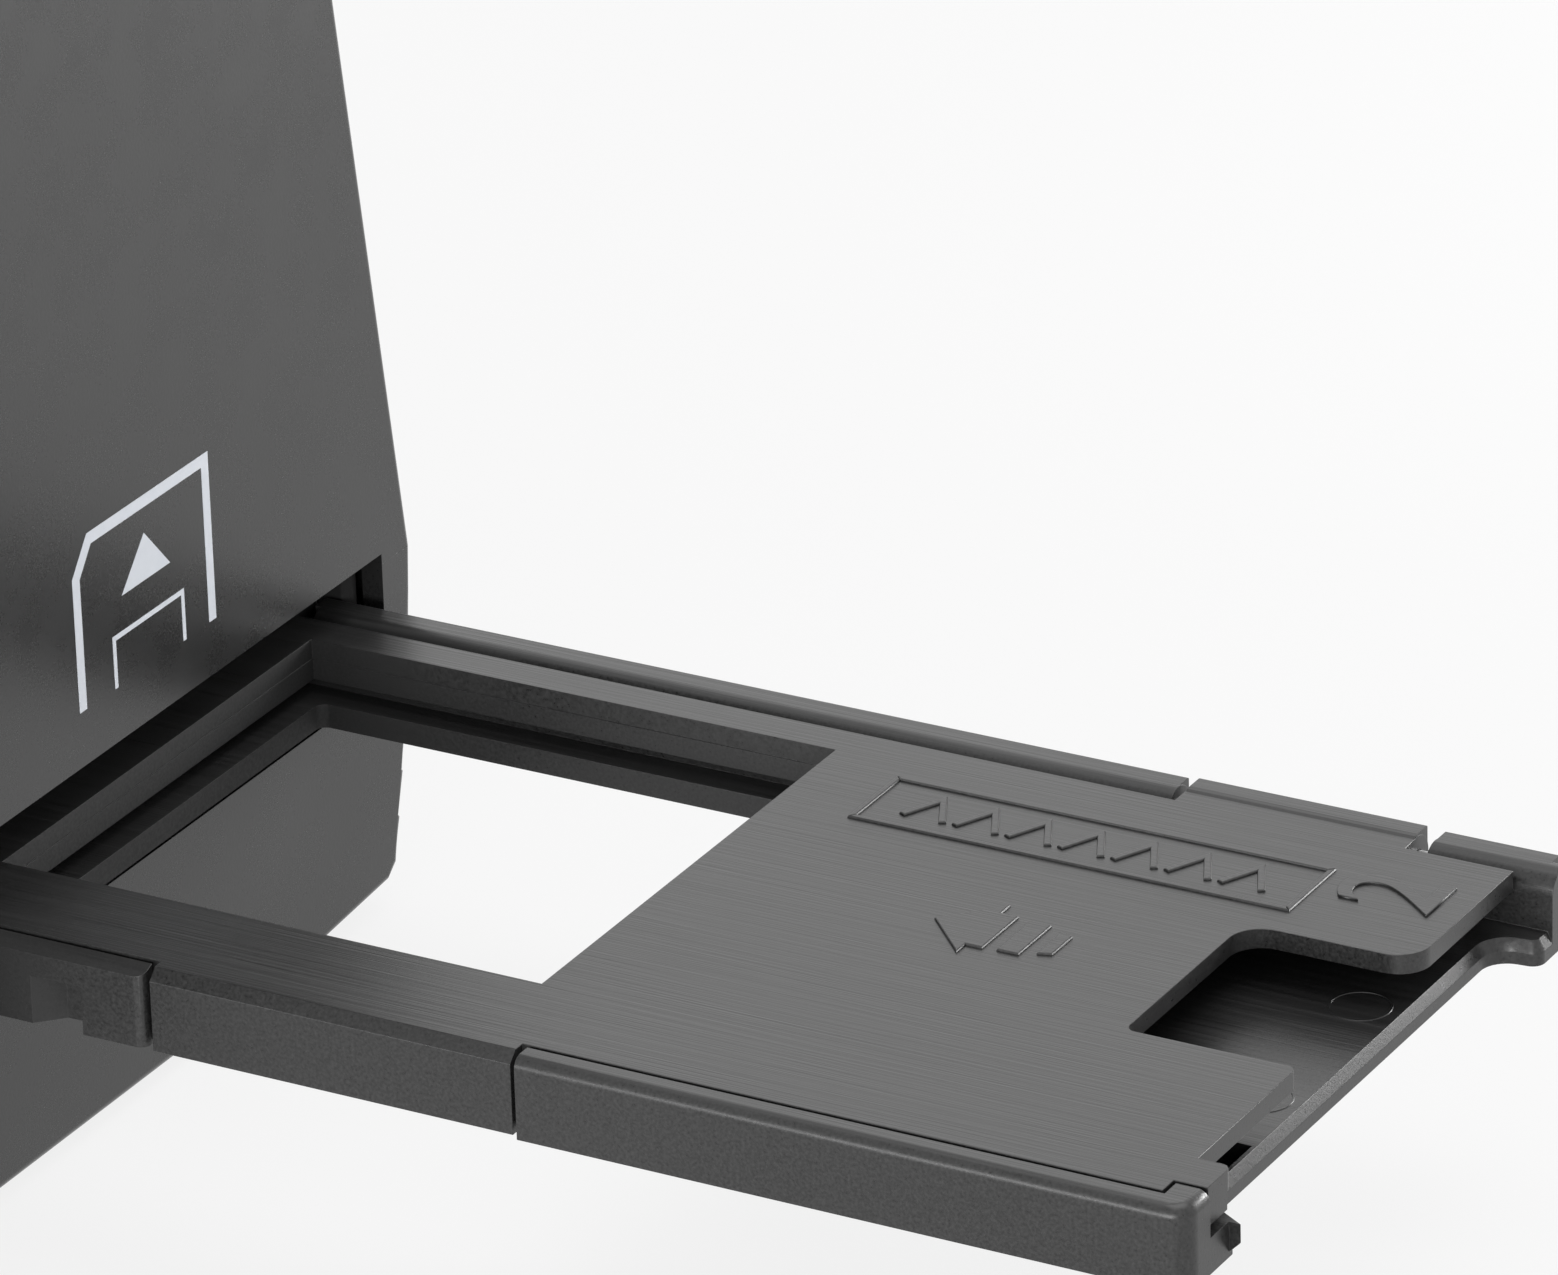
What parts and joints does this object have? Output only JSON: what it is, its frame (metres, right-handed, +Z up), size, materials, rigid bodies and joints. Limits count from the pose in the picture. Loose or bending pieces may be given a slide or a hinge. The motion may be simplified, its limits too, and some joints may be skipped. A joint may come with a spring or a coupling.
{
  "type": "film and slide scanner",
  "caption": "Desktop film and slide scanner: tapered housing with a tip-up screen and a hinged slide holder that slides through its side slot.",
  "frame": {"origin": "on the desk, under the middle of the whole object's bounding box with the holder drawn out as pictured", "axes": "+X out of the side where the holder is drawn out, +Y from front to rear, +Z up"},
  "size_m": [0.2414, 0.1174, 0.1308],
  "materials": {
    "soft_touch": "fine matte soft-touch moulding",
    "holder_plastic": "dark grey moulding, brushed fine lines on top",
    "inner_plastic": "flat black moulding",
    "rubber": "matte rubber",
    "steel": "plain steel",
    "opal": "white opal sheet",
    "board": "green circuit board",
    "lens": "clear optical glass",
    "ribbon": "flat ribbon cable",
    "socket_metal": "plated sheet metal",
    "panel": "gloss black",
    "button_cap": "satin grey caps",
    "screen_shell": "fine matte moulding",
    "screen_glass": "black gloss window",
    "display": "liquid crystal panel"
  },
  "bodies": {
    "housing": {"lower_housing": "soft_touch", "upper_housing": "soft_touch", "rubber_feet": "rubber", "housing_screws": "steel", "holder_guide": "inner_plastic", "detent_spring": "steel", "backlight_frame": "inner_plastic", "backlight_board": "board", "backlight_diffuser": "opal", "camera_hood": "inner_plastic", "lens_barrel": "inner_plastic", "lens_glass": "lens", "sensor_board": "board", "sensor_ribbon": "ribbon", "main_board": "board", "usb_port": "socket_metal", "video_port": "socket_metal", "card_slot": "socket_metal", "board_screws": "steel", "control_panel": "panel", "button_board": "board"},
    "holder": {"holder_base": "holder_plastic", "holder_hinge_pins": "steel"},
    "holder_lid": {"holder_lid": "holder_plastic"},
    "screen": {"screen_back": "screen_shell", "screen_bezel": "panel", "screen_window": "screen_glass", "lcd_panel": "display", "screen_hinge_pins": "steel"},
    "power_button": {"power_button": "button_cap"},
    "menu_button": {"menu_button": "button_cap"},
    "scan_button": {"scan_button": "button_cap"},
    "back_button": {"back_button": "button_cap"},
    "next_button": {"next_button": "button_cap"}
  },
  "joints": [
    {"name": "holder_slide", "type": "slide", "parent": "housing", "child": "holder", "axis": [1, 0, 0], "range_m": [-0.08585, 0.048]},
    {"name": "holder_lid_hinge", "type": "hinge", "parent": "holder", "child": "holder_lid", "pos_m": [0.02513, 0.04918, 0.02888], "axis": [-1, 0, 0], "range_deg": [0, 2]},
    {"name": "screen_hinge", "type": "hinge", "parent": "housing", "child": "screen", "pos_m": [-0.06073, -0.0205, 0.126], "axis": [1, 0, 0], "range_deg": [0, 80]},
    {"name": "power_button_press", "type": "slide", "parent": "housing", "child": "power_button", "axis": [0, 0, -1], "range_m": [0, 0.0008], "stiffness_N_per_m": 1500},
    {"name": "menu_button_press", "type": "slide", "parent": "housing", "child": "menu_button", "axis": [0, 0, -1], "range_m": [0, 0.0008], "stiffness_N_per_m": 1500},
    {"name": "scan_button_press", "type": "slide", "parent": "housing", "child": "scan_button", "axis": [0, 0, -1], "range_m": [0, 0.0008], "stiffness_N_per_m": 1500},
    {"name": "back_button_press", "type": "slide", "parent": "housing", "child": "back_button", "axis": [0, 0, -1], "range_m": [0, 0.0008], "stiffness_N_per_m": 1500},
    {"name": "next_button_press", "type": "slide", "parent": "housing", "child": "next_button", "axis": [0, 0, -1], "range_m": [0, 0.0008], "stiffness_N_per_m": 1500}
  ]
}
